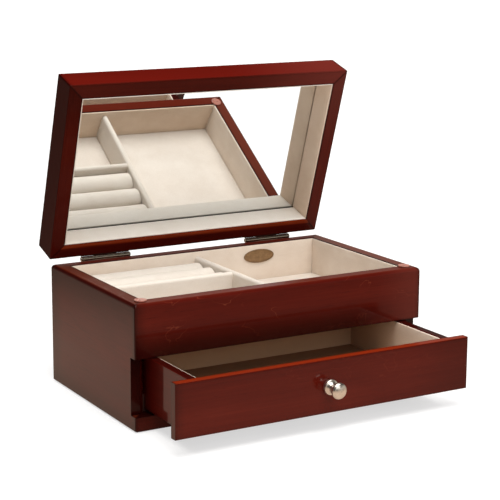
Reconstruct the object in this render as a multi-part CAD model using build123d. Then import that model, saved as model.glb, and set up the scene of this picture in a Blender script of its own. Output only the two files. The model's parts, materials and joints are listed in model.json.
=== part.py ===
"""Wooden jewelry box: a lidded tray over a full-width drawer.

Millimetres, +Z up. X runs left to right, -Y is the front, and the origin is the centre of the
felt underside. The box is drawn as it stands in use: lid raised, drawer pulled part of the way out.
"""
import os
from math import sqrt

from build123d import *

# ---------------------------------------------------------------- driving dimensions
WIDTH = 270.0            # outside width of the case, the lid and the drawer front
DEPTH = 162.0            # outside depth of the case and the lid
CASE_HEIGHT = 102.0      # height of the case's wood
FELT = 1.0               # felt under the case
FELT_INSET, FELT_CORNER = 2.0, 3.0
WALL = 12.4              # thickness of the case walls and the lid rails
LINER = 1.3              # velvet-covered card on the walls of the tray and the lid
LID_OPEN = 72.0          # angle of the lid as it stands, from closed
DRAWER_OUT = 67.0        # how far the drawer stands out

# case
RAIL_HEIGHT = 11.4       # bottom front rail
FRONT_HEIGHT = 43.8      # upper front panel, from the drawer opening to the rim
NOTCH = 8.0              # step in the side panels that takes the drawer front
BOTTOM_BOARD = 6.0
DECK = 5.0               # board between the tray and the drawer bay
TRAY_DEPTH = 33.0        # rim to the tray's velvet floor
FLOOR_LINER = 1.5
RIM_ROUND = 3.2          # rounding of the case's top outer edge
CORNER_ROUND = 1.2       # rounding of the upright corners
EDGE_ROUND = 0.7         # small softening of the other outer edges
LINER_DROP = 0.7         # the liners stop just short of the edges they line

# tray fittings
DIVIDER = 5.3            # thickness of both dividers
DIVIDER_DROP = 5.0       # rim to the top of the dividers
CROSS_Y = 1.0            # centre of the cross divider
ROLL_COUNT = 3
ROLL_DROP = 8.0          # rim to the crown of the ring rolls
ROLL_GAP = 0.3           # between neighbouring rolls
ROLL_WALL_GAP, ROLL_DIVIDER_GAP = 0.3, 0.6         # at the rolls' two ends
PLATE_X, PLATE_DROP = 63.8, 11.0          # oval plate: centre, and distance below the rim
PLATE_WIDTH, PLATE_HEIGHT, PLATE_T = 31.2, 12.4, 0.8
PLATE_BORDER, PLATE_BORDER_RISE = 1.1, 0.25
BUMPER_RADIUS, BUMPER_T, BUMPER_ROUND = 5.0, 1.2, 0.35
BUMPER_FOOT_RADIUS, BUMPER_FOOT_T = 4.3, 0.4           # the narrower foot stuck to the rim
BUMPER_INSET = 10.0      # bumper centre to the outer faces of the case

# hinges, screwed on the back faces of the case and the lid
PIN_BEHIND, PIN_ABOVE = 2.5, 0.7         # pin centre from the case's back face and the rim
LID_GAP = 1.4            # between the rim and the closed lid
HINGE_X, HINGE_LENGTH = 82.2, 46.0
KNUCKLE_ENDS = 12.0      # length of each of the case leaf's two knuckles
KNUCKLE_GAP = 0.3
BARREL_RADIUS, PIN_RADIUS, PIN_PLAY = 2.2, 1.0, 0.06
PIN_HEAD_RADIUS, PIN_HEAD_T, PIN_HEAD_ROUND = 1.7, 0.8, 0.5
LEAF_T, LEAF_WIDTH, LEAF_SETBACK = 1.0, 9.0, 1.2      # setback: leaf to the edge of its board
HINGE_SCREW_HEAD, HINGE_SCREW_SHANK, HINGE_SCREW_LENGTH = 1.8, 0.9, 8.0
HINGE_SCREW_PITCH, HINGE_SCREW_STAGGER = 15.5, 1.2
HINGE_SCREW_SLOT = (0.4, 0.5, 2.6)

# lid
LID_EDGE = 25.0          # upright part of the lid's edge
LID_CHAMFER = 7.0        # bevel round the top, over the rails and the top panel
LID_PANEL = 4.0          # top panel
LID_FACE_ROUND = 1.0
MIRROR_SETBACK = 24.5    # lid's face to the mirror's face
MIRROR_T, MIRROR_BACKING = 2.8, 0.7
MIRROR_PLAY = 0.2
LID_LINER_DROP = 0.8     # lid's face to the liners' edges
LID_LINER_STOP = 0.5     # liner edge to the mirror's face
LID_LINER_STOP_BACK = 1.4

# drawer
DRAWER_FRONT_T = 7.4
DRAWER_BOTTOM_GAP, DRAWER_TOP_GAP = 2.2, 1.0       # drawer front inside its opening
DRAWER_SIDE_INSET = 14.3                           # end of the front to the drawer's side
DRAWER_SIDE = 7.0
DRAWER_LENGTH = 137.0                              # sides and back, behind the front
DRAWER_BACK_RISE = 3.3                             # drawer back above the sides: the pull-out stop
DRAWER_BOARD, DRAWER_BOARD_UP = 3.0, 3.0           # bottom board, and its height above the sides' edge
DRAWER_LINER = 1.2
RUNNER_PLAY = 0.3
GUIDE_HEIGHT, GUIDE_PLAY = 12.0, 0.4               # upstand that keeps the drawer central
FRONT_ROUND, DRAWER_SIDE_ROUND = 1.1, 0.8

# knob, measured along its axis from the drawer front
KNOB_BASE_RADIUS, KNOB_NECK_RADIUS, KNOB_HEAD_RADIUS = 6.2, 3.1, 6.55
KNOB_BASE_T, KNOB_NECK_AT, KNOB_HEAD_AT, KNOB_LENGTH = 3.6, 7.5, 11.3, 17.0
KNOB_FOOT_BEVEL, KNOB_FOOT_ROUND = 0.5, 0.8
KNOB_HEAD_LIP, KNOB_HEAD_BULGE_AT = 1.0, 13.4
KNOB_CROWN_RADIUS, KNOB_CROWN_RISE = 5.25, 1.4
KNOB_SCREW_RADIUS, KNOB_SCREW_DEPTH, KNOB_SCREW_PLAY = 1.75, 7.0, 0.05
KNOB_SCREW_HEAD, KNOB_SCREW_HEAD_T, KNOB_SCREW_HEAD_ROUND = 3.4, 2.0, 0.7
KNOB_SCREW_SLOT = (8.0, 1.6, 0.9)
KNOB_SCREW_SINK, COUNTERBORE_PLAY = 0.1, 0.3

# ---------------------------------------------------------------- derived places
HALF_W, HALF_D = WIDTH / 2, DEPTH / 2
BASE = FELT
RIM = BASE + CASE_HEIGHT
INNER_W, INNER_D = HALF_W - WALL, HALF_D - WALL            # inside faces of the walls
LINED_W, LINED_D = INNER_W - LINER, INNER_D - LINER        # inside faces of the liners
OPENING_LOW, OPENING_HIGH = BASE + RAIL_HEIGHT, RIM - FRONT_HEIGHT
TRAY_FLOOR = RIM - TRAY_DEPTH
DECK_TOP = TRAY_FLOOR - FLOOR_LINER
LINER_TOP = RIM - LINER_DROP
DIVIDER_TOP = RIM - DIVIDER_DROP
BOTTOM_TOP = BASE + BOTTOM_BOARD

PIN_Y, PIN_Z = HALF_D + PIN_BEHIND, RIM + PIN_ABOVE
LID_FACE = RIM + LID_GAP                                   # underside of the closed lid
LID_THICKNESS = LID_EDGE + LID_CHAMFER
RAIL_TOP = LID_FACE + LID_THICKNESS - LID_PANEL

DRAWER_LOW, DRAWER_HIGH = OPENING_LOW + DRAWER_BOTTOM_GAP, OPENING_HIGH - DRAWER_TOP_GAP
DRAWER_BACK_OF_FRONT = -HALF_D + DRAWER_FRONT_T
DRAWER_END = DRAWER_BACK_OF_FRONT + DRAWER_LENGTH
DRAWER_OUTER = HALF_W - DRAWER_SIDE_INSET
DRAWER_INNER = DRAWER_OUTER - DRAWER_SIDE
KNOB_Z = (DRAWER_LOW + DRAWER_HIGH) / 2

SIDES = {"left": -1, "right": 1}


# ---------------------------------------------------------------- helpers
def block(x0, x1, y0, y1, z0, z1):
    """A box between two corners."""
    size = (abs(x1 - x0), abs(y1 - y0), abs(z1 - z0))
    return Pos((x0 + x1) / 2, (y0 + y1) / 2, (z0 + z1) / 2) * Box(*size)


def mirrored(side, x0, x1, y0, y1, z0, z1):
    """A box on the left (-1) or the right (+1), its x given as distance from the middle."""
    return block(side * x0, side * x1, y0, y1, z0, z1)


def prism(points, z0, z1):
    """An upright prism over a plan outline."""
    return extrude(Pos(0, 0, z0) * make_face(Polyline(*points, close=True)), z1 - z0)


def rod(start, radius, length, direction):
    """A cylinder from a start point along a direction."""
    return extrude(Plane(origin=start, z_dir=direction) * Circle(radius), length)


def edges_at(shape, axis, value, tolerance=0.01):
    """The shape's edges that lie wholly at one height along an axis."""
    return shape.edges().filter_by_position(axis, value - tolerance, value + tolerance)


def mitred(shell, low, high):
    """Cut a four-sided shell into boards along the 45 degree mitres of its corners."""
    reach = HALF_W - HALF_D
    corner = HALF_W + 5
    fore = -(corner - reach)
    plans = {
        "front": [(-corner, fore), (corner, fore), (reach, 0), (-reach, 0)],
        "back": [(-corner, -fore), (corner, -fore), (reach, 0), (-reach, 0)],
        "left": [(-corner, fore), (-reach, 0), (-corner, -fore)],
        "right": [(corner, fore), (reach, 0), (corner, -fore)],
    }
    return {name: shell & prism(points, low, high) for name, points in plans.items()}


def lid_pose(shape):
    """Turn a piece of the closed lid about the hinge pins to where the lid stands."""
    return shape.rotate(Axis((0, PIN_Y, PIN_Z), (1, 0, 0)), -LID_OPEN)


def drawer_pose(shape):
    """Slide a piece of the closed drawer out to where the drawer stands."""
    return Pos(0, -DRAWER_OUT, 0) * shape


# ---------------------------------------------------------------- case
def case_shell():
    """The four outer walls in one, with rounded edges and the step for the drawer front."""
    shell = block(-HALF_W, HALF_W, -HALF_D, HALF_D, BASE, RIM)
    shell = fillet(shell.edges().filter_by(Axis.Z), CORNER_ROUND)
    shell = fillet(edges_at(shell, Axis.Z, RIM), RIM_ROUND)
    shell = fillet(edges_at(shell, Axis.Z, BASE), EDGE_ROUND)
    shell -= block(-INNER_W, INNER_W, -INNER_D, INNER_D, BASE - 1, RIM + 1)
    front_bay = block(-WIDTH, WIDTH, -HALF_D - 5, -HALF_D + NOTCH, OPENING_LOW, OPENING_HIGH)
    drawer_way = block(-INNER_W, INNER_W, -HALF_D - 5, -INNER_D + 1, OPENING_LOW, OPENING_HIGH)
    return shell - front_bay - drawer_way


def bumper_places():
    """Centres of the two rim bumpers, on the front mitres."""
    offset_x, y = HALF_W - BUMPER_INSET, -HALF_D + BUMPER_INSET
    return [(-offset_x, y), (offset_x, y)]


def bumpers():
    """Soft discs stuck on the rim, each on a narrower foot."""
    top = RIM + BUMPER_T
    discs = []
    for x, y in bumper_places():
        disc = rod((x, y, RIM + BUMPER_FOOT_T), BUMPER_RADIUS, BUMPER_T - BUMPER_FOOT_T, (0, 0, 1))
        disc = fillet(edges_at(disc, Axis.Z, top), BUMPER_ROUND)
        discs.append(disc + rod((x, y, RIM), BUMPER_FOOT_RADIUS, BUMPER_FOOT_T, (0, 0, 1)))
    return Compound(discs)


def case_walls():
    """Side panels, back panel, upper front panel and bottom front rail."""
    shell = case_shell() - screw_holes(lid=False)
    boards = mitred(shell, BASE - 1, RIM + 1)
    above = block(-WIDTH, WIDTH, -DEPTH, DEPTH, OPENING_HIGH, RIM + 5)
    below = block(-WIDTH, WIDTH, -DEPTH, DEPTH, BASE - 5, OPENING_LOW)
    return {
        "case_left_side": boards["left"],
        "case_right_side": boards["right"],
        "case_back_panel": boards["back"],
        "case_front_panel": boards["front"] & above,
        "case_front_rail": boards["front"] & below,
    }


def case_inside():
    """Bottom board, tray deck, drawer runners and the felt underneath."""
    nodes = {
        "case_bottom_panel": block(-INNER_W, INNER_W, -INNER_D, INNER_D, BASE, BOTTOM_TOP),
        "tray_deck": block(-INNER_W, INNER_W, -INNER_D, INNER_D, DECK_TOP - DECK, DECK_TOP),
        "base_felt": felt_sheet(),
    }
    run_top = DRAWER_LOW - RUNNER_PLAY
    guide_inner = DRAWER_OUTER + GUIDE_PLAY
    for name, side in SIDES.items():
        foot = mirrored(side, DRAWER_INNER, INNER_W, -INNER_D, INNER_D, BOTTOM_TOP, run_top)
        guide = mirrored(side, guide_inner, INNER_W, -INNER_D, INNER_D, run_top, run_top + GUIDE_HEIGHT)
        nodes[f"drawer_runner_{name}"] = foot + guide
    return nodes


def felt_sheet():
    half_x, half_y = HALF_W - FELT_INSET, HALF_D - FELT_INSET
    sheet = block(-half_x, half_x, -half_y, half_y, 0, FELT)
    return fillet(sheet.edges().filter_by(Axis.Z), FELT_CORNER)


# ---------------------------------------------------------------- tray
def liner_walls(prefix, half_x, half_y, thickness, low, high):
    """Four thin boards lining a rectangular hollow, given the half sizes of that hollow."""
    nodes = {}
    for name, side in SIDES.items():
        nodes[f"{prefix}_{name}"] = mirrored(
            side, half_x - thickness, half_x, -half_y + thickness, half_y - thickness, low, high)
    for name, side in {"front": -1, "back": 1}.items():
        y0, y1 = side * (half_y - thickness), side * half_y
        nodes[f"{prefix}_{name}"] = block(-half_x, half_x, y0, y1, low, high)
    return nodes


def divider(x0, x1, y0, y1):
    """A padded board whose top edge is rounded over its whole thickness."""
    board = block(x0, x1, y0, y1, TRAY_FLOOR, DIVIDER_TOP)
    along = Axis.X if abs(x1 - x0) > abs(y1 - y0) else Axis.Y
    return fillet(edges_at(board, Axis.Z, DIVIDER_TOP).filter_by(along), DIVIDER / 2 - 0.15)


def ring_rolls():
    """Foam rolls side by side behind the cross divider, each with a half-round crown."""
    start = CROSS_Y + DIVIDER / 2
    pitch = (LINED_D - start) / ROLL_COUNT
    radius = (pitch - ROLL_GAP) / 2
    x0, x1 = -LINED_W + ROLL_WALL_GAP, -DIVIDER / 2 - ROLL_DIVIDER_GAP
    crown = RIM - ROLL_DROP
    nodes = {}
    for index in range(ROLL_COUNT):
        middle = start + pitch * (index + 0.5)
        top = rod((x0, middle, crown - radius), radius, x1 - x0, (1, 0, 0))
        body = block(x0, x1, middle - radius, middle + radius, TRAY_FLOOR, crown - radius)
        nodes[f"ring_roll_{index + 1}"] = top + body
    return nodes


def oval_plate():
    """Plain oval plate with a raised border, on the back liner."""
    face = Plane(origin=(PLATE_X, LINED_D, RIM - PLATE_DROP), x_dir=(1, 0, 0), z_dir=(0, -1, 0))
    half_w, half_h = PLATE_WIDTH / 2, PLATE_HEIGHT / 2
    plate = extrude(face * Ellipse(half_w, half_h), PLATE_T)
    inner = Ellipse(half_w - PLATE_BORDER, half_h - PLATE_BORDER)
    return plate - extrude(face.offset(PLATE_T - PLATE_BORDER_RISE) * inner, PLATE_T)


def tray():
    nodes = liner_walls("tray_liner", INNER_W, INNER_D, LINER, DECK_TOP, LINER_TOP)
    nodes["tray_liner_floor"] = block(-LINED_W, LINED_W, -LINED_D, LINED_D, DECK_TOP, TRAY_FLOOR)
    nodes["tray_divider_long"] = divider(-DIVIDER / 2, DIVIDER / 2, -LINED_D, LINED_D)
    cross_front, cross_rear = CROSS_Y - DIVIDER / 2, CROSS_Y + DIVIDER / 2
    nodes["tray_divider_cross"] = divider(-LINED_W, -DIVIDER / 2, cross_front, cross_rear)
    nodes.update(ring_rolls())
    nodes["oval_plate"] = oval_plate()
    nodes["rim_bumpers"] = bumpers()
    return nodes


# ---------------------------------------------------------------- hinges
def knuckle_spans(x):
    """Case knuckle, lid knuckle, case knuckle of the hinge centred on x."""
    start, end = x - HINGE_LENGTH / 2, x + HINGE_LENGTH / 2
    return [(start, start + KNUCKLE_ENDS),
            (start + KNUCKLE_ENDS + KNUCKLE_GAP, end - KNUCKLE_ENDS - KNUCKLE_GAP),
            (end - KNUCKLE_ENDS, end)]


def leaf_heights(lid):
    """Bottom and top of a leaf plate with the lid closed."""
    if lid:
        return LID_FACE + LEAF_SETBACK, LID_FACE + LEAF_SETBACK + LEAF_WIDTH
    return RIM - LEAF_SETBACK - LEAF_WIDTH, RIM - LEAF_SETBACK


def leaf_screws(x, lid, slotted=False):
    """Three countersunk screws through one leaf, into the wood."""
    middle = sum(leaf_heights(lid)) / 2
    screws = []
    for step in (-1, 0, 1):
        stagger = (abs(step) - 0.5) * HINGE_SCREW_STAGGER
        start = (x + step * HINGE_SCREW_PITCH, HALF_D + LEAF_T, middle + stagger)
        plane = Plane(origin=start, z_dir=(0, -1, 0))
        head = loft([plane * Circle(HINGE_SCREW_HEAD),
                     plane.offset(LEAF_T * 0.9) * Circle(HINGE_SCREW_SHANK)])
        screw = head + rod(start, HINGE_SCREW_SHANK, HINGE_SCREW_LENGTH, (0, -1, 0))
        screws.append(screw - Pos(*start) * Box(*HINGE_SCREW_SLOT) if slotted else screw)
    return screws


def strap(span, lid):
    """The part of a leaf that reaches from its plate to the pin, over one knuckle."""
    low, high = leaf_heights(lid)
    root = low + LEAF_T / 2 if lid else high - LEAF_T / 2
    run, rise = PIN_Y - (HALF_D + LEAF_T / 2), PIN_Z - root
    reach = sqrt(run ** 2 + rise ** 2)
    centre = ((span[0] + span[1]) / 2, PIN_Y - run / 2, PIN_Z - rise / 2)
    along = Plane(origin=centre, x_dir=(1, 0, 0), z_dir=(0, -rise, run))
    return along * Box(span[1] - span[0], reach, LEAF_T)


def hinge_leaf(x, lid):
    """One leaf: a plate on the back face, straps to its knuckles, and its screw holes."""
    low, high = leaf_heights(lid)
    spans = knuckle_spans(x)
    own = spans[1:2] if lid else [spans[0], spans[2]]
    x0, x1 = x - HINGE_LENGTH / 2, x + HINGE_LENGTH / 2
    leaf = block(x0, x1, HALF_D, HALF_D + LEAF_T, low, high)
    for start, end in own:
        leaf += strap((start, end), lid)
        leaf += rod((start, PIN_Y, PIN_Z), BARREL_RADIUS, end - start, (1, 0, 0))
    bore = PIN_RADIUS + (PIN_PLAY if lid else 0)
    leaf -= rod((x0 - 1, PIN_Y, PIN_Z), bore, HINGE_LENGTH + 2, (1, 0, 0))
    for screw in leaf_screws(x, lid):
        leaf -= screw
    return leaf


def hinge_pin(x):
    """Pin with a small domed head at each end."""
    x0, x1 = x - HINGE_LENGTH / 2, x + HINGE_LENGTH / 2
    pin = rod((x0, PIN_Y, PIN_Z), PIN_RADIUS, HINGE_LENGTH, (1, 0, 0))
    for start, way in ((x0, -1), (x1, 1)):
        head = rod((start, PIN_Y, PIN_Z), PIN_HEAD_RADIUS, PIN_HEAD_T, (way, 0, 0))
        pin += fillet(edges_at(head, Axis.X, start + way * PIN_HEAD_T), PIN_HEAD_ROUND)
    return pin


def screw_holes(lid):
    """Every hinge screw hole in the case or in the closed lid."""
    return [screw for side in SIDES.values() for screw in leaf_screws(side * HINGE_X, lid)]


def hinges():
    nodes = {}
    for name, side in SIDES.items():
        x = side * HINGE_X
        nodes[f"hinge_case_leaf_{name}"] = hinge_leaf(x, lid=False)
        nodes[f"hinge_lid_leaf_{name}"] = lid_pose(hinge_leaf(x, lid=True))
        nodes[f"hinge_pin_{name}"] = hinge_pin(x)
    places = [side * HINGE_X for side in SIDES.values()]
    case_screws = [screw for x in places for screw in leaf_screws(x, lid=False, slotted=True)]
    lid_screws = [screw for x in places for screw in leaf_screws(x, lid=True, slotted=True)]
    nodes["hinge_screws_case"] = Compound(case_screws)
    nodes["hinge_screws_lid"] = lid_pose(Compound(lid_screws))
    return nodes


# ---------------------------------------------------------------- lid
def lid_shell():
    """Rails and top panel in one, closed: rounded at the face, bevelled at the top."""
    bevel_low, top = LID_FACE + LID_EDGE, LID_FACE + LID_THICKNESS
    shell = block(-HALF_W, HALF_W, -HALF_D, HALF_D, LID_FACE, top)
    shell = fillet(shell.edges().filter_by(Axis.Z), CORNER_ROUND)
    shell = fillet(edges_at(shell, Axis.Z, LID_FACE), LID_FACE_ROUND)
    bevelled = loft([Pos(0, 0, bevel_low) * Rectangle(WIDTH, DEPTH),
                     Pos(0, 0, top) * Rectangle(WIDTH - 2 * LID_CHAMFER, DEPTH - 2 * LID_CHAMFER)])
    shell &= block(-WIDTH, WIDTH, -DEPTH, DEPTH, LID_FACE - 1, bevel_low) + bevelled
    return shell - block(-INNER_W, INNER_W, -INNER_D, INNER_D, LID_FACE - 1, RAIL_TOP)


def lid():
    shell = lid_shell() - screw_holes(lid=True)
    top = LID_FACE + LID_THICKNESS
    panel_space = block(-WIDTH, WIDTH, -DEPTH, DEPTH, RAIL_TOP, top + 5)
    nodes = {"lid_top_panel": shell & panel_space}
    rails = mitred(shell - panel_space, LID_FACE - 1, RAIL_TOP + 1)
    nodes.update({f"lid_{name}_rail": rail for name, rail in rails.items()})

    glass_low = LID_FACE + MIRROR_SETBACK
    glass_high = glass_low + MIRROR_T
    glass_w, glass_d = INNER_W - MIRROR_PLAY, INNER_D - MIRROR_PLAY
    nodes["mirror"] = block(-glass_w, glass_w, -glass_d, glass_d, glass_low, glass_high)
    nodes["mirror_backing"] = block(-glass_w, glass_w, -glass_d, glass_d, glass_high, RAIL_TOP)

    low, high = LID_FACE + LID_LINER_DROP, glass_low - LID_LINER_STOP
    liners = liner_walls("lid_liner", INNER_W, INNER_D, LINER, low, high)
    shortened = glass_low - LID_LINER_STOP_BACK
    liners["lid_liner_back"] &= block(-WIDTH, WIDTH, -DEPTH, DEPTH, LID_FACE - 1, shortened)
    nodes.update(liners)
    return {name: lid_pose(shape) for name, shape in nodes.items()}


# ---------------------------------------------------------------- drawer
def drawer_front():
    front = block(-HALF_W, HALF_W, -HALF_D, DRAWER_BACK_OF_FRONT, DRAWER_LOW, DRAWER_HIGH)
    front = fillet(edges_at(front, Axis.Y, -HALF_D), FRONT_ROUND)
    hole = rod((0, -HALF_D - 1, KNOB_Z), KNOB_SCREW_RADIUS + KNOB_SCREW_PLAY,
               DRAWER_FRONT_T + 2, (0, 1, 0))
    seat = DRAWER_BACK_OF_FRONT - KNOB_SCREW_HEAD_T - KNOB_SCREW_SINK
    counterbore = rod((0, seat, KNOB_Z), KNOB_SCREW_HEAD + COUNTERBORE_PLAY, DRAWER_FRONT_T, (0, 1, 0))
    return front - hole - counterbore


def drawer_box():
    """Sides, taller back, and bottom board."""
    back_inner = DRAWER_END - DRAWER_SIDE
    board_low = DRAWER_LOW + DRAWER_BOARD_UP
    nodes = {}
    for name, side in SIDES.items():
        board = mirrored(side, DRAWER_INNER, DRAWER_OUTER,
                         DRAWER_BACK_OF_FRONT, back_inner, DRAWER_LOW, DRAWER_HIGH)
        top_edges = edges_at(board, Axis.Z, DRAWER_HIGH).filter_by(Axis.Y)
        nodes[f"drawer_{name}_side"] = fillet(top_edges, DRAWER_SIDE_ROUND)
    nodes["drawer_back"] = block(-DRAWER_OUTER, DRAWER_OUTER, back_inner, DRAWER_END,
                                 DRAWER_LOW, DRAWER_HIGH + DRAWER_BACK_RISE)
    nodes["drawer_bottom"] = block(-DRAWER_INNER, DRAWER_INNER, DRAWER_BACK_OF_FRONT, back_inner,
                                   board_low, board_low + DRAWER_BOARD)
    return nodes


def drawer_liners():
    """Velvet-covered card on the drawer's floor and walls."""
    floor = DRAWER_LOW + DRAWER_BOARD_UP + DRAWER_BOARD
    back_inner = DRAWER_END - DRAWER_SIDE
    half_y = (back_inner - DRAWER_BACK_OF_FRONT) / 2
    middle = (back_inner + DRAWER_BACK_OF_FRONT) / 2
    top = DRAWER_HIGH - LINER_DROP
    walls = liner_walls("drawer_liner", DRAWER_INNER, half_y, DRAWER_LINER, floor, top)
    walls = {name: Pos(0, middle, 0) * wall for name, wall in walls.items()}
    inner_x, inner_y = DRAWER_INNER - DRAWER_LINER, half_y - DRAWER_LINER
    walls["drawer_liner_floor"] = block(-inner_x, inner_x, middle - inner_y, middle + inner_y,
                                        floor, floor + DRAWER_LINER)
    return walls


def knob():
    """Turned knob: a broad foot, a waisted neck and a head with a crowned face."""
    base, head = KNOB_BASE_RADIUS, KNOB_HEAD_RADIUS
    foot_side = (base, KNOB_BASE_T - KNOB_FOOT_ROUND)
    foot_top = (base - KNOB_FOOT_ROUND, KNOB_BASE_T)
    under_head = (head - KNOB_HEAD_LIP, KNOB_HEAD_AT)
    crown_edge = (KNOB_CROWN_RADIUS, KNOB_LENGTH - KNOB_CROWN_RISE)
    sphere = (KNOB_CROWN_RADIUS ** 2 + KNOB_CROWN_RISE ** 2) / (2 * KNOB_CROWN_RISE)
    halfway = KNOB_CROWN_RADIUS / 2
    dip = sphere - sqrt(sphere ** 2 - halfway ** 2)
    outline = [
        Polyline((0, 0), (base - KNOB_FOOT_BEVEL, 0), (base, KNOB_FOOT_BEVEL), foot_side),
        RadiusArc(foot_side, foot_top, -KNOB_FOOT_ROUND),
        ThreePointArc(foot_top, (KNOB_NECK_RADIUS, KNOB_NECK_AT), under_head),
        ThreePointArc(under_head, (head, KNOB_HEAD_BULGE_AT), crown_edge),
        ThreePointArc(crown_edge, (halfway, KNOB_LENGTH - dip), (0, KNOB_LENGTH)),
        Line((0, KNOB_LENGTH), (0, 0)),
    ]
    turned = revolve(make_face(Curve() + outline), Axis.Y)
    placed = Pos(0, -HALF_D, KNOB_Z) * Rot(180, 0, 0) * turned
    return placed - rod((0, -HALF_D + 1, KNOB_Z), KNOB_SCREW_RADIUS, KNOB_SCREW_DEPTH + 1, (0, -1, 0))


def knob_screw():
    """Pan-head screw from inside the drawer front into the knob."""
    head_back = DRAWER_BACK_OF_FRONT - KNOB_SCREW_SINK
    head = rod((0, head_back, KNOB_Z), KNOB_SCREW_HEAD, KNOB_SCREW_HEAD_T, (0, -1, 0))
    head = fillet(edges_at(head, Axis.Y, head_back), KNOB_SCREW_HEAD_ROUND)
    head -= Pos(0, head_back, KNOB_Z) * Box(*KNOB_SCREW_SLOT)
    tip = -HALF_D - KNOB_SCREW_DEPTH + 2 * KNOB_SCREW_SINK
    start = head_back - KNOB_SCREW_HEAD_T / 2
    return head + rod((0, start, KNOB_Z), KNOB_SCREW_RADIUS, start - tip, (0, -1, 0))


def drawer():
    nodes = {"drawer_front": drawer_front()}
    nodes.update(drawer_box())
    nodes.update(drawer_liners())
    nodes["knob"] = knob()
    nodes["knob_screw"] = knob_screw()
    return {name: drawer_pose(shape) for name, shape in nodes.items()}


# ---------------------------------------------------------------- write the parts
def all_nodes():
    nodes = {}
    for group in (case_walls, case_inside, tray, hinges, lid, drawer):
        nodes.update(group())
    return nodes


os.makedirs("parts", exist_ok=True)
for node, shape in all_nodes().items():
    export_step(shape, f"parts/{node}.step")
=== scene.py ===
"""The jewelry box's visual model: materials for its CAD parts, its velvet pieces, floor, light, camera."""
import json
from collections import namedtuple
from math import cos, pi, radians, sin

import bmesh
import bpy
from mathutils import Matrix, Vector, noise


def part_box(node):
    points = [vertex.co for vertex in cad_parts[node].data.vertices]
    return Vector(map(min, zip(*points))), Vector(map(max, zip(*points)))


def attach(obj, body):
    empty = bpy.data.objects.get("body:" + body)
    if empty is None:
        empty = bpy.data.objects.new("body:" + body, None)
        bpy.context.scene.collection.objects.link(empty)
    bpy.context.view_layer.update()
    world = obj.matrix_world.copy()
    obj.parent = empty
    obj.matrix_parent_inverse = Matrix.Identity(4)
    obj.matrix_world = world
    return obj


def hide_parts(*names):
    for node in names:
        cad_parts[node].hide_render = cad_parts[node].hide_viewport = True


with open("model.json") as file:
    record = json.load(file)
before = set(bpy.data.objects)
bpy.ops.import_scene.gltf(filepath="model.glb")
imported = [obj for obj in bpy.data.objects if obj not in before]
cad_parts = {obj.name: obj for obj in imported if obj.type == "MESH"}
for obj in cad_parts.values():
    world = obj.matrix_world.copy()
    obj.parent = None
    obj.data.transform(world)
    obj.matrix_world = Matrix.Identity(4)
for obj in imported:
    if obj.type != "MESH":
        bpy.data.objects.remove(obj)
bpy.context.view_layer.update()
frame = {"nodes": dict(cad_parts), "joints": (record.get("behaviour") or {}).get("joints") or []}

MM = 0.001
X, Y, Z = range(3)
LID_OPEN = radians(72)           # how far the lid stands from closed
HINGE = Vector(next(j["pos_m"] for j in frame["joints"] if j["name"] == "lid_hinge"))
TO_POSE = Matrix.Translation(HINGE) @ Matrix.Rotation(-LID_OPEN, 4, "X") @ Matrix.Translation(-HINGE)
TO_CLOSED = TO_POSE.inverted()
STILL = Matrix.Identity(4)


def closed_box(name, back):
    """A node's box after its body is turned back by a matrix."""
    points = [back @ v.co for v in frame["nodes"][name].data.vertices]
    return (Vector([min(p[i] for p in points) for i in range(3)]),
            Vector([max(p[i] for p in points) for i in range(3)]))


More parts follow.
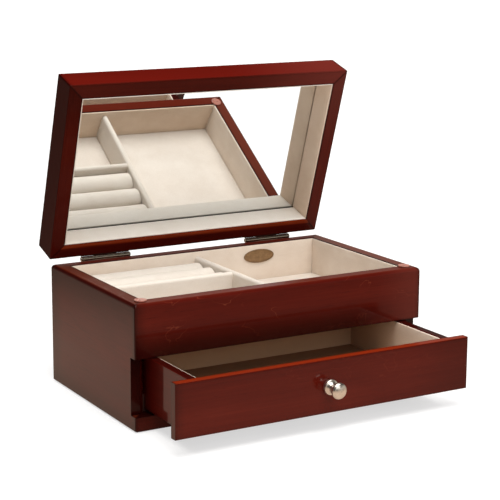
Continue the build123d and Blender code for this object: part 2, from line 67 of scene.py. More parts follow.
# ------------------------------------------------------------------ shader building
class Nodes:
    """A shader node tree, built with one call per node."""

    def __init__(self, tree):
        self.tree = tree

    def add(self, kind, inputs, **settings):
        node = self.tree.nodes.new("ShaderNode" + kind)
        for key, value in settings.items():
            setattr(node, key, value)
        for key, value in inputs.items():
            self.put(node.inputs[key], value)
        return node

    def put(self, socket, value):
        if isinstance(value, bpy.types.NodeSocket):
            self.tree.links.new(value, socket)
        else:
            socket.default_value = value

    def coords(self, turn=(0, 0, 0), shift=(0, 0, 0)):
        """Object coordinates, turned and then shifted."""
        raw = self.add("TexCoord", {}).outputs["Object"]
        return self.add("Mapping", {"Vector": raw, "Rotation": turn, "Location": shift}).outputs[0]

    def split(self, vector):
        return self.add("SeparateXYZ", {0: vector}).outputs

    def stretch(self, vector, factors):
        return self.add("VectorMath", {0: vector, 1: factors}, operation="MULTIPLY").outputs[0]

    def dot(self, a, b):
        return self.add("VectorMath", {0: a, 1: b}, operation="DOT_PRODUCT").outputs["Value"]

    def noise(self, vector, scale=1.0, detail=4.0, rough=0.5, warp=0.0):
        inputs = {"Vector": vector, "Scale": scale, "Detail": detail, "Roughness": rough,
                  "Distortion": warp}
        return self.add("TexNoise", inputs).outputs["Fac"]

    def streaks(self, vector, along, across, **settings):
        """Noise drawn out along x, with so many features per metre along and across."""
        return self.noise(self.stretch(vector, (along, across, across)), **settings)

    def math(self, operation, a, b=0.0):
        return self.add("Math", {0: a, 1: b}, operation=operation).outputs[0]

    def times(self, a, b):
        return self.math("MULTIPLY", a, b)

    def blend(self, *parts):
        """Sum of values, each times its weight."""
        total, *rest = [self.times(value, weight) for value, weight in parts]
        for part in rest:
            total = self.math("ADD", total, part)
        return total

    def hypot(self, a, b):
        return self.math("SQRT", self.math("ADD", self.times(a, a), self.times(b, b)))

    def span(self, value, low, high, out_low=0.0, out_high=1.0):
        """Go smoothly from out_low to out_high while value goes from low to high."""
        inputs = {"Value": value, "From Min": low, "From Max": high, "To Min": out_low,
                  "To Max": out_high}
        return self.add("MapRange", inputs, interpolation_type="SMOOTHSTEP").outputs[0]

    def vary(self, value, low, high):
        """Go from low to high while a noise's value goes through the range where most of it lies."""
        return self.span(value, 0.3, 0.7, low, high)

    def ramp(self, value, stops):
        node = self.add("ValToRGB", {"Fac": value})
        elements = node.color_ramp.elements
        while len(elements) < len(stops):
            elements.new(0.5)
        for element, (place, colour) in zip(elements, stops):
            element.position = place
            element.color = (*colour, 1)
        return node.outputs["Color"]

    def mix(self, share, a, b):
        node = self.add("Mix", {"Factor": share}, data_type="RGBA")
        for socket, value in ((node.inputs[6], a), (node.inputs[7], b)):
            self.put(socket, value if isinstance(value, bpy.types.NodeSocket) else (*value, 1))
        return node.outputs[2]

    def bump(self, height, strength, distance):
        inputs = {"Height": height, "Strength": strength, "Distance": distance}
        return self.add("Bump", inputs).outputs[0]

    def by_edges(self, radius, turned, share, samples):
        """Share of an effect by the edges, where a bevel of that radius turns the normal.

        It is whole where the cosine of that turn is below turned, and gone on a flat face.
        """
        eased = self.add("Bevel", {"Radius": radius}, samples=samples).outputs[0]
        flat = self.add("NewGeometry", {}).outputs["True Normal"]
        return self.span(self.dot(eased, flat), turned, 0.995, share, 0.0)


class Shader(Nodes):
    """The nodes of a new material."""

    def __init__(self, name):
        self.material = bpy.data.materials.new(name)
        self.material.use_nodes = True
        super().__init__(self.material.node_tree)

    def finish(self, **values):
        """Set the surface's sockets; underscores in the keywords stand for spaces."""
        surface = self.tree.nodes["Principled BSDF"]
        for key, value in values.items():
            self.put(surface.inputs[key.replace("_", " ")], value)
        return self.material


# ------------------------------------------------------------------ lacquered boards
# turns that lay x along a board's grain
GRAIN_X = (0, 0, 0)
GRAIN_Y = (0, 0, pi / 2)
LID_GRAIN_X = (LID_OPEN, 0, 0)
LID_GRAIN_Y = (LID_OPEN, 0, pi / 2)

STAIN_SHADES = ((0.26, (0.052, 0.0022, 0.0011)), (0.47, (0.080, 0.0046, 0.0020)),
                (0.68, (0.112, 0.0085, 0.0036)))
# the near-black of the painted shade at the boards' ends and edges
PAINTED_SHADE_BLACK = (0.012, 0.0004, 0.0003)
PORE = (0.022, 0.0014, 0.001)
PALE_VEIN = (0.33, 0.065, 0.030)
# the colour of the painted warm reflection along the lid's back rail
PAINTED_GLOW_COLOUR = (0.20, 0.022, 0.004)
# painted shade along the boards' edges: a thin dark line and a broader band
PAINTED_EDGE_SHADE = ((1.3 * MM, 0.80, 0.85), (5.0 * MM, 0.75, 0.55))     # bevel radius, cosine of the turn, share
SQUARE_TO_AXIS = (0.80, 0.95)    # from, to: how squarely a face must look one way to take the painted light and shade given for that way
UPWARD_COAT = 0.12               # the share of its coat that a board keeps on faces that look up

# How one board looks, painted light and shade included. Its ends are found with the lid closed; the
# painted light and shade on its faces go by how faces look at rest.
#   grain       the turn that lays the grain along the board
#   depth       how much of the stain's colour it has; below 1 it darkens the whole board as painted shade
#   coat        the weight of the clear lacquer
#   veins       the share of the pale wavy lines
#   dark_ends   painted shade that darkens it towards an end: (axis, end, reach in millimetres, share)
#   dark_until  from, to: the x over which the painted shade along z dies out
#   light_ends   painted highlight that lightens it towards an end: (axis, end, reach in millimetres, share, colour)
#   tints  painted light and shade on the faces that look one way: (axis, sign, colour)
#   warm_band  whether its inner edge carries a painted warm reflection
Board = namedtuple("Board", "grain depth coat veins dark_ends dark_until light_ends tints warm_band",
                   defaults=(1.0, 1.0, 0.0, (), None, (), (), False))

# the lid's boards take less of the stain's colour, as painted shade
LID_DEPTH, LID_COAT = 0.60, 0.30
# painted shade towards the top, back, foot and front of the case's sides
CASE_SIDE_SHADED_ENDS = ((Z, 1, 34, 0.60), (Y, 1, 26, 0.50), (Z, -1, 16, 0.50), (Y, -1, 7, 0.60))
# painted shade on the case sides' faces that look to the front
CASE_STEP_SHADE = (Y, -1, (0.014, 0.0006, 0.0004))
# painted shade on the outer sides of the lid
LID_SIDE_SHADE = (0.026, 0.0008, 0.0005)
# painted shadow of the case, deepening towards the back of the drawer's sides
DRAWER_SIDE_SHADED_ENDS = ((Y, 1, 132, 0.95), (Y, 1, 90, 0.90))
# painted shade on the drawer's top edges
DRAWER_TOP_SHADE = ((Z, 1, (0.026, 0.0015, 0.001)),)

BOARDS = {
    "case_front_panel": Board(
        GRAIN_X, coat=0.80, veins=0.30, dark_until=(0.060, 0.128),
        # painted shade at both ends; along the foot, a painted reflection of the drawer's dark inside that
        # dies out to the right
        dark_ends=((X, -1, 12, 0.45), (X, 1, 6, 0.60), (Z, -1, 30, 0.85)),
        light_ends=((X, 1, 50, 0.50, (0.115, 0.022, 0.015)),),
        tints=((Z, 1, (0.105, 0.0130, 0.0060)),)),
    "case_front_rail": Board(
        GRAIN_X, depth=0.55, coat=0.50,
        tints=((Z, 1, (0.014, 0.0008, 0.0006)),)),
    "case_back_panel": Board(
        GRAIN_X,
        tints=((Z, 1, (0.095, 0.009, 0.004)),)),
    "case_left_side": Board(
        GRAIN_Y, depth=0.80, dark_ends=CASE_SIDE_SHADED_ENDS,
        tints=((Z, 1, (0.085, 0.0130, 0.0050)), CASE_STEP_SHADE)),
    "case_right_side": Board(
        GRAIN_Y, depth=0.80, dark_ends=CASE_SIDE_SHADED_ENDS,
        tints=((Z, 1, (0.125, 0.0270, 0.0160)), CASE_STEP_SHADE)),
    "lid_top_panel": Board(LID_GRAIN_X, LID_DEPTH, LID_COAT),
    "lid_front_rail": Board(
        LID_GRAIN_X, LID_DEPTH, LID_COAT,
        light_ends=((X, 1, 120, 0.42, (0.190, 0.034, 0.025)),),
        tints=((Z, 1, (0.112, 0.0042, 0.0016)),)),
    "lid_back_rail": Board(
        LID_GRAIN_X, LID_DEPTH, LID_COAT, warm_band=True,
        dark_ends=((Y, -1, 2.4, 1.0),),
        tints=((Z, 1, (0.006, 0.001, 0.001)),)),
    "lid_left_rail": Board(
        LID_GRAIN_Y, LID_DEPTH, coat=0.12,
        dark_ends=((Y, -1, 60, 0.55),),
        tints=((X, -1, LID_SIDE_SHADE),)),
    "lid_right_rail": Board(
        LID_GRAIN_Y, depth=0.85, coat=0.45,
        light_ends=((Y, -1, 90, 0.40, (0.120, 0.030, 0.022)),),
        tints=((X, 1, LID_SIDE_SHADE),)),
    "drawer_front": Board(
        GRAIN_X, depth=0.90, veins=0.06,
        dark_ends=((X, -1, 9, 0.30), (X, 1, 70, 0.32)),
        tints=((Z, 1, (0.23, 0.020, 0.003)),)),
    "drawer_back": Board(GRAIN_X, tints=DRAWER_TOP_SHADE),
    "drawer_left_side": Board(GRAIN_Y, dark_ends=DRAWER_SIDE_SHADED_ENDS, tints=DRAWER_TOP_SHADE),
    "drawer_right_side": Board(GRAIN_Y, dark_ends=DRAWER_SIDE_SHADED_ENDS, tints=DRAWER_TOP_SHADE),
}


def grain_coords(sh, turn, seed):
    """Coordinates with x along the grain, shifted so that no two boards match."""
    return sh.coords(turn, (seed * 0.37, seed * 0.71, seed * 0.53))


def near_end(sh, places, box, axis, end, reach, share, whole=0.0):
    """Share of an effect by one end of a box.

    It is whole up to one distance from the end and gone at reach, both in millimetres.
    """
    low, high = box
    gap = (sh.math("SUBTRACT", places[axis], low[axis]) if end < 0
           else sh.math("SUBTRACT", high[axis], places[axis]))
    return sh.span(gap, whole * MM, reach * MM, share, 0.0)


def stained(sh, look, grain, tone, fibres):
    """The stain itself, its pores, and pale wavy lines where the figure catches the light."""
    figure = sh.streaks(grain, 1.6, 11, detail=2.0, rough=0.4, warp=0.3)
    rings = sh.math("PINGPONG", sh.times(figure, 11.0), 0.5)
    body = sh.blend((tone, 0.50), (rings, 0.14), (fibres, 0.34))
    colour = sh.ramp(body, [(place, [part * look.depth for part in shade])
                            for place, shade in STAIN_SHADES])
    pores = sh.streaks(grain, 55, 1500, detail=2.0)
    colour = sh.mix(sh.times(sh.span(pores, 0.62, 0.72), 0.5), colour, PORE)

    waves = sh.streaks(grain, 26, 52, detail=3.0, warp=0.5)
    off_line = sh.math("ABSOLUTE", sh.math("SUBTRACT", waves, 0.51))
    line = sh.span(off_line, 0.0010, 0.0085, look.veins, 0.0)
    patch = sh.span(sh.streaks(grain, 16, 40, detail=1.0), 0.50, 0.62)
    return sh.mix(sh.times(line, patch), colour, PALE_VEIN)


def shaded(sh, look, colour, places, box, facing, tone):
    """The board's painted shade at its ends, painted light and shade on faces that look one way, and
    painted highlights at its ends, one over the other.
    """
    # painted shade towards the board's ends
    for axis, end, reach, share in look.dark_ends:
        dark = near_end(sh, places, box, axis, end, reach, share)
        # on the front panel, the painted reflection along its foot dies out along x
        if axis == Z and look.dark_until:
            dark = sh.times(dark, sh.span(places[X], *look.dark_until, 1.0, 0.0))
        colour = sh.mix(dark, colour, PAINTED_SHADE_BLACK)
    # painted light on faces that look up and painted shade on shaded faces, broken up by the tone
    patchy = sh.span(tone, 0.30, 0.62, 0.80, 1.0)
    for axis, sign, tint in look.tints:
        squarely = sh.span(sh.times(facing[axis], sign), *SQUARE_TO_AXIS)
        colour = sh.mix(sh.times(squarely, patchy), colour, tint)
    # painted highlights towards the board's ends
    for axis, end, reach, share, light in look.light_ends:
        colour = sh.mix(near_end(sh, places, box, axis, end, reach, share), colour, light)
    return colour


def with_painted_glow(sh, colour, places, box, fibres):
    """A painted warm reflection on the underside of a lid rail, along its inner edge, broken up by the
    grain.
    """
    inward = near_end(sh, places, box, Y, -1, 4.6, 1.0, whole=1.8)
    face = near_end(sh, places, box, Z, -1, 1.2, 1.0, whole=0.3)
    broken = sh.span(fibres, 0.35, 0.60, 0.55, 1.0)
    return sh.mix(sh.times(sh.times(inward, face), broken), colour, PAINTED_GLOW_COLOUR)


def lacquered_wood(name, look, seed):
    """Red mahogany stain under clear semi-gloss lacquer, with painted light and shade, for the board of
    that name.
    """
    sh = Shader("lacquer_" + name)
    grain = grain_coords(sh, look.grain, seed)
    tone = sh.streaks(grain, 2.5, 26, detail=3.0, warp=0.4)
    fibres = sh.streaks(grain, 14, 620, detail=5.0, rough=0.65)
    closing = TO_CLOSED if name.startswith("lid_") else STILL
    places = sh.split(sh.coords(closing.to_euler(), closing.translation))
    box = closed_box(name, closing)
    facing = sh.split(sh.add("TexCoord", {}).outputs["Normal"])

    colour = stained(sh, look, grain, tone, fibres)
    colour = shaded(sh, look, colour, places, box, facing, tone)
    # painted shade along the edges
    for radius, turned, share in PAINTED_EDGE_SHADE:
        colour = sh.mix(sh.by_edges(radius, turned, share, samples=8), colour, PAINTED_SHADE_BLACK)
    # painted warm reflection along the inner edge
    if look.warm_band:
        colour = with_painted_glow(sh, colour, places, box, fibres)

    peel = sh.noise(grain, scale=330.0, detail=2.0)
    height = sh.blend((fibres, 0.35), (peel, 0.65))
    coat = sh.span(facing[Z], 0.50, 0.90, look.coat, UPWARD_COAT * look.coat)
    return sh.finish(Base_Color=colour, Roughness=sh.vary(tone, 0.34, 0.44),
                     Specular_IOR_Level=0.04, Specular_Tint=(1.0, 0.80, 0.52, 1),
                     Coat_Weight=coat, Coat_Roughness=0.06, Coat_IOR=1.26,
                     Normal=sh.bump(height, 0.10, 0.2 * MM),
                     Coat_Normal=sh.bump(height, 0.05, 0.2 * MM))


# ------------------------------------------------------------------ other materials
DRAWER_SHADE_SPAN = (-0.125, -0.030)   # from, to: the y over which painted shade turns the drawer's cloth browner
DRAWER_SHADE_SHARE = 0.92                # how much of the painted shade's colour the cloth has taken on by then


def plain_wood(name, turn, seed):
    """Dark stained board with no lacquer, for the parts inside."""
    sh = Shader(name)
    grain = grain_coords(sh, turn, seed)
    fibres = sh.streaks(grain, 10, 420, detail=5.0, rough=0.65)
    tone = sh.streaks(grain, 2, 20, detail=3.0, warp=0.5)
    body = sh.blend((fibres, 0.5), (tone, 0.5))
    colour = sh.ramp(body, [(0.35, (0.022, 0.0036, 0.0022)), (0.65, (0.052, 0.0120, 0.0066))])
    return sh.finish(Base_Color=colour, Roughness=sh.vary(fibres, 0.55, 0.70),
                     Specular_IOR_Level=0.3, Normal=sh.bump(fibres, 0.35, 0.3 * MM))


def velvet(name, colour, shade, sheen=0.35, pile=1.0, inner=None):
    """Short-pile velvet: fine flecks, brushed patches and a soft sheen.

    inner is a colour of painted shade that the cloth takes on towards the back of the drawer.
    """
    sh = Shader(name)
    here = sh.coords()
    flecks = sh.noise(here, scale=1500.0 / pile, detail=3.0, rough=0.7)
    nap = sh.noise(sh.stretch(here, (1.0, 1.0, 1.6)), scale=70.0, detail=3.0, warp=0.6)
    brushed = sh.noise(here, scale=16.0, detail=2.0, warp=0.8)
    body = sh.blend((flecks, 0.45), (nap, 0.25), (brushed, 0.30))
    tint = sh.ramp(body, [(0.34, shade), (0.62, colour)])
    if inner:
        # painted shade deepening towards the back of the drawer
        tint = sh.mix(sh.span(sh.split(here)[Y], *DRAWER_SHADE_SPAN, 0.0, DRAWER_SHADE_SHARE), tint, inner)
    height = sh.blend((flecks, 0.7), (nap, 0.3))
    return sh.finish(Base_Color=tint, Roughness=sh.vary(nap, 0.82, 0.95),
                     Specular_IOR_Level=0.15, Sheen_Weight=sheen, Sheen_Roughness=0.45,
                     Sheen_Tint=(1.0, 0.95, 0.88, 1), Normal=sh.bump(height, 0.5, 0.3 * MM * pile))


def nickel(name, colour, rough, axis_point=None):
    """Polished metal with fine polishing lines: along x, or rings round an axis along y.

    rough is its least and greatest roughness, and axis_point is the x and z of that axis.
    """
    sh = Shader(name)
    if axis_point is None:
        lines = sh.streaks(sh.coords(), 90, 2600, detail=3.0)
    else:
        x, y, z = sh.split(sh.coords(shift=(-axis_point[0], 0, -axis_point[1])))
        ring_scale = 2400.0
        both = sh.add("CombineXYZ", {0: sh.times(sh.hypot(x, z), ring_scale),
                                     1: sh.times(y, ring_scale)}).outputs[0]
        lines = sh.noise(both, detail=2.0)
    smudge = sh.noise(sh.coords(), scale=140.0, detail=3.0)
    tint = sh.mix(sh.vary(smudge, 0.0, 1.0), colour, [c * 0.86 for c in colour])
    return sh.finish(Base_Color=tint, Metallic=1.0,
                     Roughness=sh.vary(sh.blend((lines, 0.6), (smudge, 0.4)), *rough),
                     Normal=sh.bump(lines, 0.10, 0.05 * MM))


def antique_brass(name):
    """Brushed brass, patchy with age and dark round its rim."""
    sh = Shader(name)
    here = sh.coords()
    patina = sh.noise(here, scale=260.0, detail=5.0, rough=0.6, warp=0.5)
    lines = sh.streaks(here, 60, 900, detail=3.0)
    body = sh.blend((patina, 0.65), (lines, 0.35))
    colour = sh.ramp(body, [(0.34, (0.22, 0.125, 0.055)), (0.50, (0.27, 0.158, 0.072)),
                            (0.66, (0.33, 0.200, 0.095))])
    rim = sh.by_edges(0.5 * MM, 0.80, 0.95, samples=6)
    colour = sh.mix(rim, colour, (0.030, 0.016, 0.008))
    return sh.finish(Base_Color=colour, Metallic=0.45, Roughness=sh.vary(patina, 0.5, 0.36),
                     Normal=sh.bump(body, 0.25, 0.1 * MM))


def mirror_glass(name):
    """Silvered glass with the faintest film of dust."""
    sh = Shader(name)
    here = sh.coords()
    film = sh.noise(here, scale=22.0, detail=4.0, warp=0.7)
    specks = sh.span(sh.noise(here, scale=900.0, detail=1.0), 0.74, 0.80)
    clean = sh.mix(film, (0.90, 0.915, 0.91), (0.87, 0.89, 0.885))
    return sh.finish(Base_Color=sh.mix(specks, clean, (0.80, 0.81, 0.80)), Metallic=1.0, Roughness=0.0)


def soft_rubber(name):
    """Pinkish rubber that lets a little light in."""
    sh = Shader(name)
    cloud = sh.noise(sh.coords(), scale=420.0, detail=3.0)
    colour = sh.ramp(cloud, [(0.3, (0.33, 0.120, 0.090)), (0.7, (0.44, 0.190, 0.145))])
    return sh.finish(Base_Color=colour, Roughness=sh.vary(cloud, 0.24, 0.36),
                     Subsurface_Weight=0.35, Subsurface_Radius=(0.9, 0.4, 0.3),
                     Subsurface_Scale=1.2 * MM, Normal=sh.bump(cloud, 0.2, 0.1 * MM))


def card(name):
    """Brown pulp board."""
    sh = Shader(name)
    pulp = sh.noise(sh.coords(), scale=600.0, detail=5.0, rough=0.7)
    colour = sh.ramp(pulp, [(0.3, (0.10, 0.075, 0.055)), (0.7, (0.20, 0.155, 0.115))])
    return sh.finish(Base_Color=colour, Roughness=sh.vary(pulp, 0.85, 0.95),
                     Normal=sh.bump(pulp, 0.3, 0.1 * MM))


# ------------------------------------------------------------------ materials on the CAD parts
def paint(material, *names):
    """Give CAD nodes a material in every one of their slots."""
    for name in names:
        node = frame["nodes"][name]
        if not node.material_slots:
            node.data.materials.append(material)
        for entry in node.material_slots:
            entry.material = material


for seed, (name, look) in enumerate(BOARDS.items(), start=1):
    paint(lacquered_wood(name, look, seed), name)
INNER_BOARDS = {"case_bottom_panel": GRAIN_X, "tray_deck": GRAIN_X, "drawer_bottom": GRAIN_X,
                "drawer_runner_left": GRAIN_Y, "drawer_runner_right": GRAIN_Y}
for seed, (name, turn) in enumerate(INNER_BOARDS.items(), start=31):
    paint(plain_wood("stain_" + name, turn, seed), name)

knob_low, knob_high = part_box("knob")
knob_axis = ((knob_low.x + knob_high.x) / 2, (knob_low.z + knob_high.z) / 2)
paint(nickel("knob_nickel", (0.82, 0.76, 0.68), (0.26, 0.36), knob_axis), "knob")
paint(nickel("hinge_nickel", (0.50, 0.45, 0.38), (0.08, 0.16)),
      *[name for name in frame["nodes"] if name.startswith("hinge_") and "screws" not in name])
paint(nickel("hinge_screw_steel", (0.24, 0.21, 0.18), (0.28, 0.42)), "hinge_screws_case",
      "hinge_screws_lid")
paint(nickel("screw_steel", (0.55, 0.55, 0.54), (0.25, 0.40), knob_axis), "knob_screw")
paint(antique_brass("antique_brass"), "oval_plate")
paint(mirror_glass("mirror_glass"), "mirror")
paint(card("backing_card"), "mirror_backing")
paint(soft_rubber("soft_rubber"), "rim_bumpers")


# ------------------------------------------------------------------ soft pieces
wall_velvet = velvet("velvet_on_card", (0.79, 0.695, 0.600), (0.67, 0.550, 0.445))
floor_velvet = velvet("velvet_floor", (0.74, 0.680, 0.615), (0.64, 0.565, 0.495), pile=1.2)
foam_velvet = velvet("velvet_on_foam", (0.72, 0.665, 0.600), (0.64, 0.570, 0.495), sheen=0.2)
# a tanner copy of the wall cloth: painted shade for liners that lie in shade
shaded_velvet = velvet("velvet_painted_shade", (0.77, 0.630, 0.505), (0.65, 0.490, 0.365), sheen=0.2)
# a paler copy of the wall cloth: painted light for the lid's front and back liners
lit_lid_velvet = velvet("velvet_in_lid", (0.87, 0.815, 0.745), (0.77, 0.70, 0.615))
# the drawer's cloth takes on painted shade towards the back
drawer_velvet = velvet("velvet_in_drawer", (0.92, 0.80, 0.69), (0.78, 0.640, 0.515), sheen=0.15,
                       inner=(0.47, 0.275, 0.150))
# cream cloth given a brown colour as painted shade, darker still towards the back
shaded_drawer_floor_velvet = velvet("velvet_drawer_floor_painted_shade", (0.62, 0.475, 0.350), (0.48, 0.340, 0.230),
                             sheen=0.0, inner=(0.28, 0.130, 0.060))
base_cloth = velvet("base_felt_cloth", (0.060, 0.022, 0.017), (0.028, 0.010, 0.008), sheen=0.15,
                    pile=1.8)

CARD_WAVES = ((0.035, 0.60, 0), (0.011, 0.40, 7))     # feature size in metres, share, seed step
BAR_WAVES = ((0.030, 0.55, 0), (0.009, 0.45, 5))
FULL_WAVES = 6 * MM              # how far in from an edge, or up from a bar's foot, the waves are whole
BAR_SINK = 0.6                   # how far a bar's waves are shifted inwards, as a share of swell
LEAST_SECTION = 0.05             # how small a bar's end may be drawn in, as a share of its section


def cloth_wave(point, seed, waves):
    """Gentle noise between -1 and 1, the sum of a few feature sizes."""
    total = 0.0
    for size, share, step in waves:
        shift = Vector([(seed + step) * part for part in (3.1, 1.7, 2.3)])
        total += share * noise.noise(point / size + shift)
    return total


def cut_grid(bm, axis, low, high, step):
    """Slice a mesh across one axis, so that long faces can bend."""
    count = max(1, round((high - low) / step))
    normal = Vector([1.0 if i == axis else 0.0 for i in range(3)])
    for k in range(1, count):
        place = normal * (low + (high - low) * k / count)
        everything = bm.verts[:] + bm.edges[:] + bm.faces[:]
        bmesh.ops.bisect_plane(bm, geom=everything, plane_co=place, plane_no=normal, dist=1e-7)


def make_piece(node, bm, material, body, place=STILL):
    """Finish a mesh as a shown piece that stands for a CAD node."""
    name = "soft_" + node
    bmesh.ops.recalc_face_normals(bm, faces=bm.faces)
    mesh = bpy.data.meshes.new(name)
    bm.to_mesh(mesh)
    bm.free()
    mesh.transform(place)
    mesh.materials.append(material)
    for polygon in mesh.polygons:
        polygon.use_smooth = True
    piece = bpy.data.objects.new(name, mesh)
    bpy.context.scene.collection.objects.link(piece)
    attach(piece, body)
    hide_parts(node)
    return piece


def wrapped_card(node, body, material, seed, edge, swell, step=6 * MM, place=STILL, backed=()):
    """Cloth over a board: eased edges and a face that is never quite flat.

    edge is the radius of the edges, swell the height of the waves and step the size of the mesh's
    squares. backed lists the sides that lie against something, each (axis, sign), and these stay flat.
    """
    low, high = closed_box(node, place.inverted())
    size = high - low
    bm = bmesh.new()
    bmesh.ops.create_cube(bm, size=1.0)
    bmesh.ops.scale(bm, vec=size, verts=bm.verts)
    bmesh.ops.translate(bm, vec=(low + high) / 2, verts=bm.verts)
    bmesh.ops.bevel(bm, geom=bm.edges[:], offset=edge, segments=3, profile=0.5,
                    affect="EDGES", clamp_overlap=True)
    long_axes = [axis for axis in range(3) if size[axis] > 3 * step]
    for axis in long_axes:
        inset = edge * 1.05
        cut_grid(bm, axis, low[axis] + inset, high[axis] - inset, step)
    bm.normal_update()
    for vert in bm.verts:
        if any(vert.normal[axis] * sign > 0.3 for axis, sign in backed):
            continue
        from_edge = min((min(vert.co[i] - low[i], high[i] - vert.co[i]) for i in long_axes), default=0)
        share = min(1.0, max(0.0, from_edge) / FULL_WAVES)
        vert.co += vert.normal * swell * share * cloth_wave(vert.co, seed, CARD_WAVES)
    return make_piece(node, bm, material, body, place)


def bar_stations(start, end, end_round, end_steps, rings):
    """Places along a bar, each with how far its section is drawn in there: rounded at both ends."""
    turns = [(pi / 2) * k / end_steps for k in range(end_steps, -1, -1)]
    eased = [(end_round * (1 - sin(turn)), end_round * (1 - cos(turn))) for turn in turns]
    first = [(start + back, pull) for back, pull in eased]
    straight = (end - start) - 2 * end_round
    middle = [(start + end_round + straight * k / rings, 0.0) for k in range(1, rings)]
    last = [(end - back, pull) for back, pull in reversed(eased)]
    return first + middle + last


def padded_bar(node, body, material, profile, stations, along, seed, swell):
    """A closed profile swept along x or y, its ends drawn in like stuffed cloth.

    profile gives (across, up) points, along is the axis of the bar's length, and swell is the
    height of the waves.
    """
    low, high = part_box(node)
    across = Y if along == X else X
    centre = Vector((0, (low.z + high.z) / 2))
    bm = bmesh.new()
    loops = []
    for place, pull in stations:
        loop = []
        for corner in profile:
            offset = Vector(corner) - centre
            shrunk = offset * max(LEAST_SECTION, (offset.length - pull) / offset.length)
            point = Vector((0, 0, centre.y + shrunk.y))
            point[along] = place
            point[across] = (low[across] + high[across]) / 2 + shrunk.x
            loop.append(bm.verts.new(point))
        loops.append(loop)
    for one, two in zip(loops, loops[1:]):
        for i in range(len(profile)):
            j = (i + 1) % len(profile)
            bm.faces.new((one[i], one[j], two[j], two[i]))
    bm.faces.new(loops[0])
    bm.faces.new(loops[-1][::-1])
    bm.normal_update()
    for vert in bm.verts:
        share = min(1.0, max(0.0, (vert.co.z - low.z) / FULL_WAVES))
        vert.co += vert.normal * swell * share * (cloth_wave(vert.co, seed, BAR_WAVES) - BAR_SINK)
    return make_piece(node, bm, material, body)


def arch(width, low, high, shoulder, foot, top_steps=14, side_steps=6):
    """Outline of a padded bar: a round top, straight sides, and a foot drawn in on each side."""
    half = width / 2
    spring = high - shoulder
    turns = [pi * k / top_steps for k in range(top_steps + 1)]
    top = [(half * cos(turn), spring + shoulder * sin(turn)) for turn in turns]
    fall = spring - low
    left = [(-half, spring - fall * k / side_steps) for k in range(1, side_steps)]
    under = [(-half + foot, low), (half - foot, low)]
    right = [(half, low + fall * k / side_steps) for k in range(1, side_steps)]
    return top + left + under + right


# liners that take a copy of the cloth with painted light and shade in place of the wall cloth
LIT_AND_SHADED_CLOTHS = {"tray_liner_front": shaded_velvet, "lid_liner_right": shaded_velvet,
                "lid_liner_front": lit_lid_velvet, "lid_liner_back": lit_lid_velvet}
BACKED_FACES = {"left": (X, -1), "right": (X, 1), "front": (Y, -1), "back": (Y, 1)}
for index, (side, backed_face) in enumerate(BACKED_FACES.items()):
    for prefix, body, cloth, place, first_seed in (
            ("tray_liner_", "case", wall_velvet, STILL, 11),
            ("drawer_liner_", "drawer", drawer_velvet, STILL, 13),
            ("lid_liner_", "lid", wall_velvet, TO_POSE, 10)):
        cloth = LIT_AND_SHADED_CLOTHS.get(prefix + side, cloth)
        wrapped_card(prefix + side, body, cloth, first_seed + index, edge=0.5 * MM,
                     swell=0.16 * MM, place=place, backed=(backed_face,))
for node, body, cloth, seed in (("tray_liner_floor", "case", floor_velvet, 21),
                                ("drawer_liner_floor", "drawer", shaded_drawer_floor_velvet, 22)):
    wrapped_card(node, body, cloth, seed, edge=0.55 * MM, swell=0.3 * MM,
                           step=5 * MM, backed=((Z, -1),))
wrapped_card("base_felt", "case", base_cloth, 23, edge=0.3 * MM, swell=0.0, step=20 * MM)

for node, along, seed in (("tray_divider_long", Y, 41), ("tray_divider_cross", X, 42)):
    low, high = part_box(node)
    across = Y if along == X else X
    width = high[across] - low[across]
    outline = arch(width, low.z, high.z, shoulder=width / 2, foot=0.3 * MM)
    stations = bar_stations(low[along], high[along], end_round=0.5 * MM, end_steps=3, rings=40)
    padded_bar(node, "case", foam_velvet, outline, stations, along, seed,
                         swell=0.14 * MM)
for index in (1, 2, 3):
    node = f"ring_roll_{index}"
    low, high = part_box(node)
    width = high.y - low.y
    outline = arch(width, low.z, high.z, shoulder=width / 2 * 0.92, foot=0.8 * MM, top_steps=24)
    stations = bar_stations(low.x, high.x, end_round=1.4 * MM, end_steps=5, rings=34)
    padded_bar(node, "case", foam_velvet, outline, stations, X, 50 + index,
                         swell=0.32 * MM)


# ------------------------------------------------------------------ floor, light, camera
def is_blurred_gloss(sh, rays):
    """1 for a glossy ray that is blurred, so not for one from the mirror."""
    return sh.times(rays["Is Glossy Ray"], sh.math("SUBTRACT", 1.0, rays["Is Singular Ray"]))


def floor_material():
    """Pale matte floor. In blurred gloss it shows in a warm shade that deepens outwards."""
    sh = Shader("pale_floor")
    x, y, _ = sh.split(sh.coords())
    dimmed = sh.mix(sh.span(sh.hypot(x, y), 0.22, 0.60), (0.27, 0.206, 0.161), (0.100, 0.079, 0.060))
    cloud = sh.noise(sh.coords(), scale=5.0, detail=3.0)
    pale = sh.ramp(cloud, [(0.3, (0.42, 0.42, 0.42)), (0.7, (0.45, 0.45, 0.45))])
    rays = sh.add("LightPath", {}).outputs
    shown = sh.mix(is_blurred_gloss(sh, rays), pale, dimmed)
    return sh.finish(Base_Color=shown, Roughness=0.9, Specular_IOR_Level=0.0,
                     Emission_Color=shown, Emission_Strength=1.4)


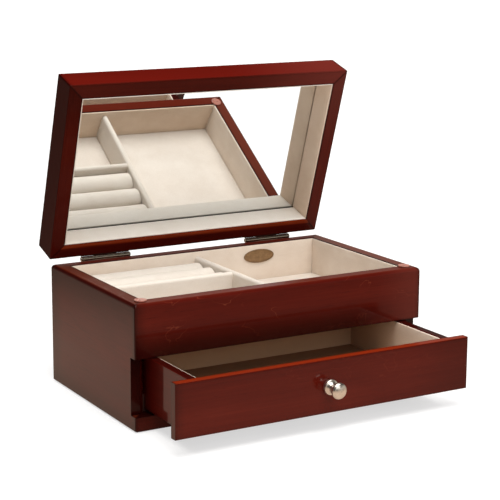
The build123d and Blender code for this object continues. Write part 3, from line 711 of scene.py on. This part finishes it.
def studio_world():
    """Pale light, strongest from high up at the front right.

    The camera and the mirror see it brighter. Blurred gloss sees another, mostly dark background
    instead, with a pale band low down on the right and a pale patch overhead.
    """
    world = bpy.data.worlds.new("studio")
    world.use_nodes = True
    sh = Nodes(world.node_tree)
    direction = sh.add("TexCoord", {}).outputs["Generated"]
    x, _, z = sh.split(direction)
    rays = sh.add("LightPath", {}).outputs

    lit = sh.tree.nodes["Background"]
    shade = sh.span(sh.dot(direction, (0.50, -0.42, 0.76)), -0.45, 0.90, 0.03, 0.62)
    seen_plainly = sh.math("ADD", rays["Is Singular Ray"], rays["Is Camera Ray"])
    sh.put(lit.inputs["Color"], (1.0, 0.985, 0.965, 1))
    sh.put(lit.inputs["Strength"], sh.math("ADD", shade, sh.times(seen_plainly, 0.85)))

    low_band = sh.times(sh.span(x, -0.05, 0.40, 0.0, 0.55), sh.span(z, 0.20, 0.42, 1.0, 0.0))
    in_gloss = sh.math("ADD", sh.span(z, 0.78, 0.98, 0.03, 0.34), low_band)
    seen = sh.add("Background", {"Color": (1.0, 0.93, 0.82, 1), "Strength": in_gloss})
    choose = sh.add("MixShader", {0: is_blurred_gloss(sh, rays), 1: lit.outputs[0],
                                  2: seen.outputs[0]})
    sh.put(sh.tree.nodes["World Output"].inputs["Surface"], choose.outputs[0])
    return world


def lamp(name, kind, power, place, aim):
    """A light at a place, pointed at another; the caller gives it its size and colour."""
    light = bpy.data.lights.new(name, kind)
    light.energy = power
    light_object = bpy.data.objects.new(name, light)
    light_object.location = place
    light_object.rotation_euler = (Vector(aim) - Vector(place)).to_track_quat("-Z", "Y").to_euler()
    bpy.context.scene.collection.objects.link(light_object)
    return light


def photo_camera():
    """The camera fitted to the photograph: it looks down and to the right."""
    data = bpy.data.cameras.new("camera")
    data.lens = 109.744
    data.sensor_width = 36.0
    data.shift_x, data.shift_y = 0.0905, -0.0593
    data.clip_end = 60.0
    camera = bpy.data.objects.new("camera", data)
    down, right = radians(11.096), radians(28.79)
    camera.location = (-0.63266, -1.09814, 0.39097)
    camera.rotation_euler = (pi / 2 - down, 0, -right)
    bpy.context.scene.collection.objects.link(camera)
    return camera


bpy.ops.mesh.primitive_grid_add(size=60, x_subdivisions=2, y_subdivisions=2)
floor = bpy.context.object
floor.name = "floor"
floor.data.materials.append(floor_material())

bpy.context.scene.world = studio_world()
overhead = lamp("overhead", "SUN", 3.2, place=(-0.10, -0.45, 2.0), aim=(0, 0, 0))
overhead.angle = radians(50)
overhead.color = (1.0, 0.985, 0.96)
front_fill = lamp("front_fill", "AREA", 6.0, place=(0.0, -1.7, 0.9), aim=(0, 0, 0.15))
front_fill.shape = "RECTANGLE"
front_fill.size, front_fill.size_y = 1.2, 0.8

bpy.context.scene.camera = photo_camera()
bpy.context.scene.view_settings.view_transform = "Standard"
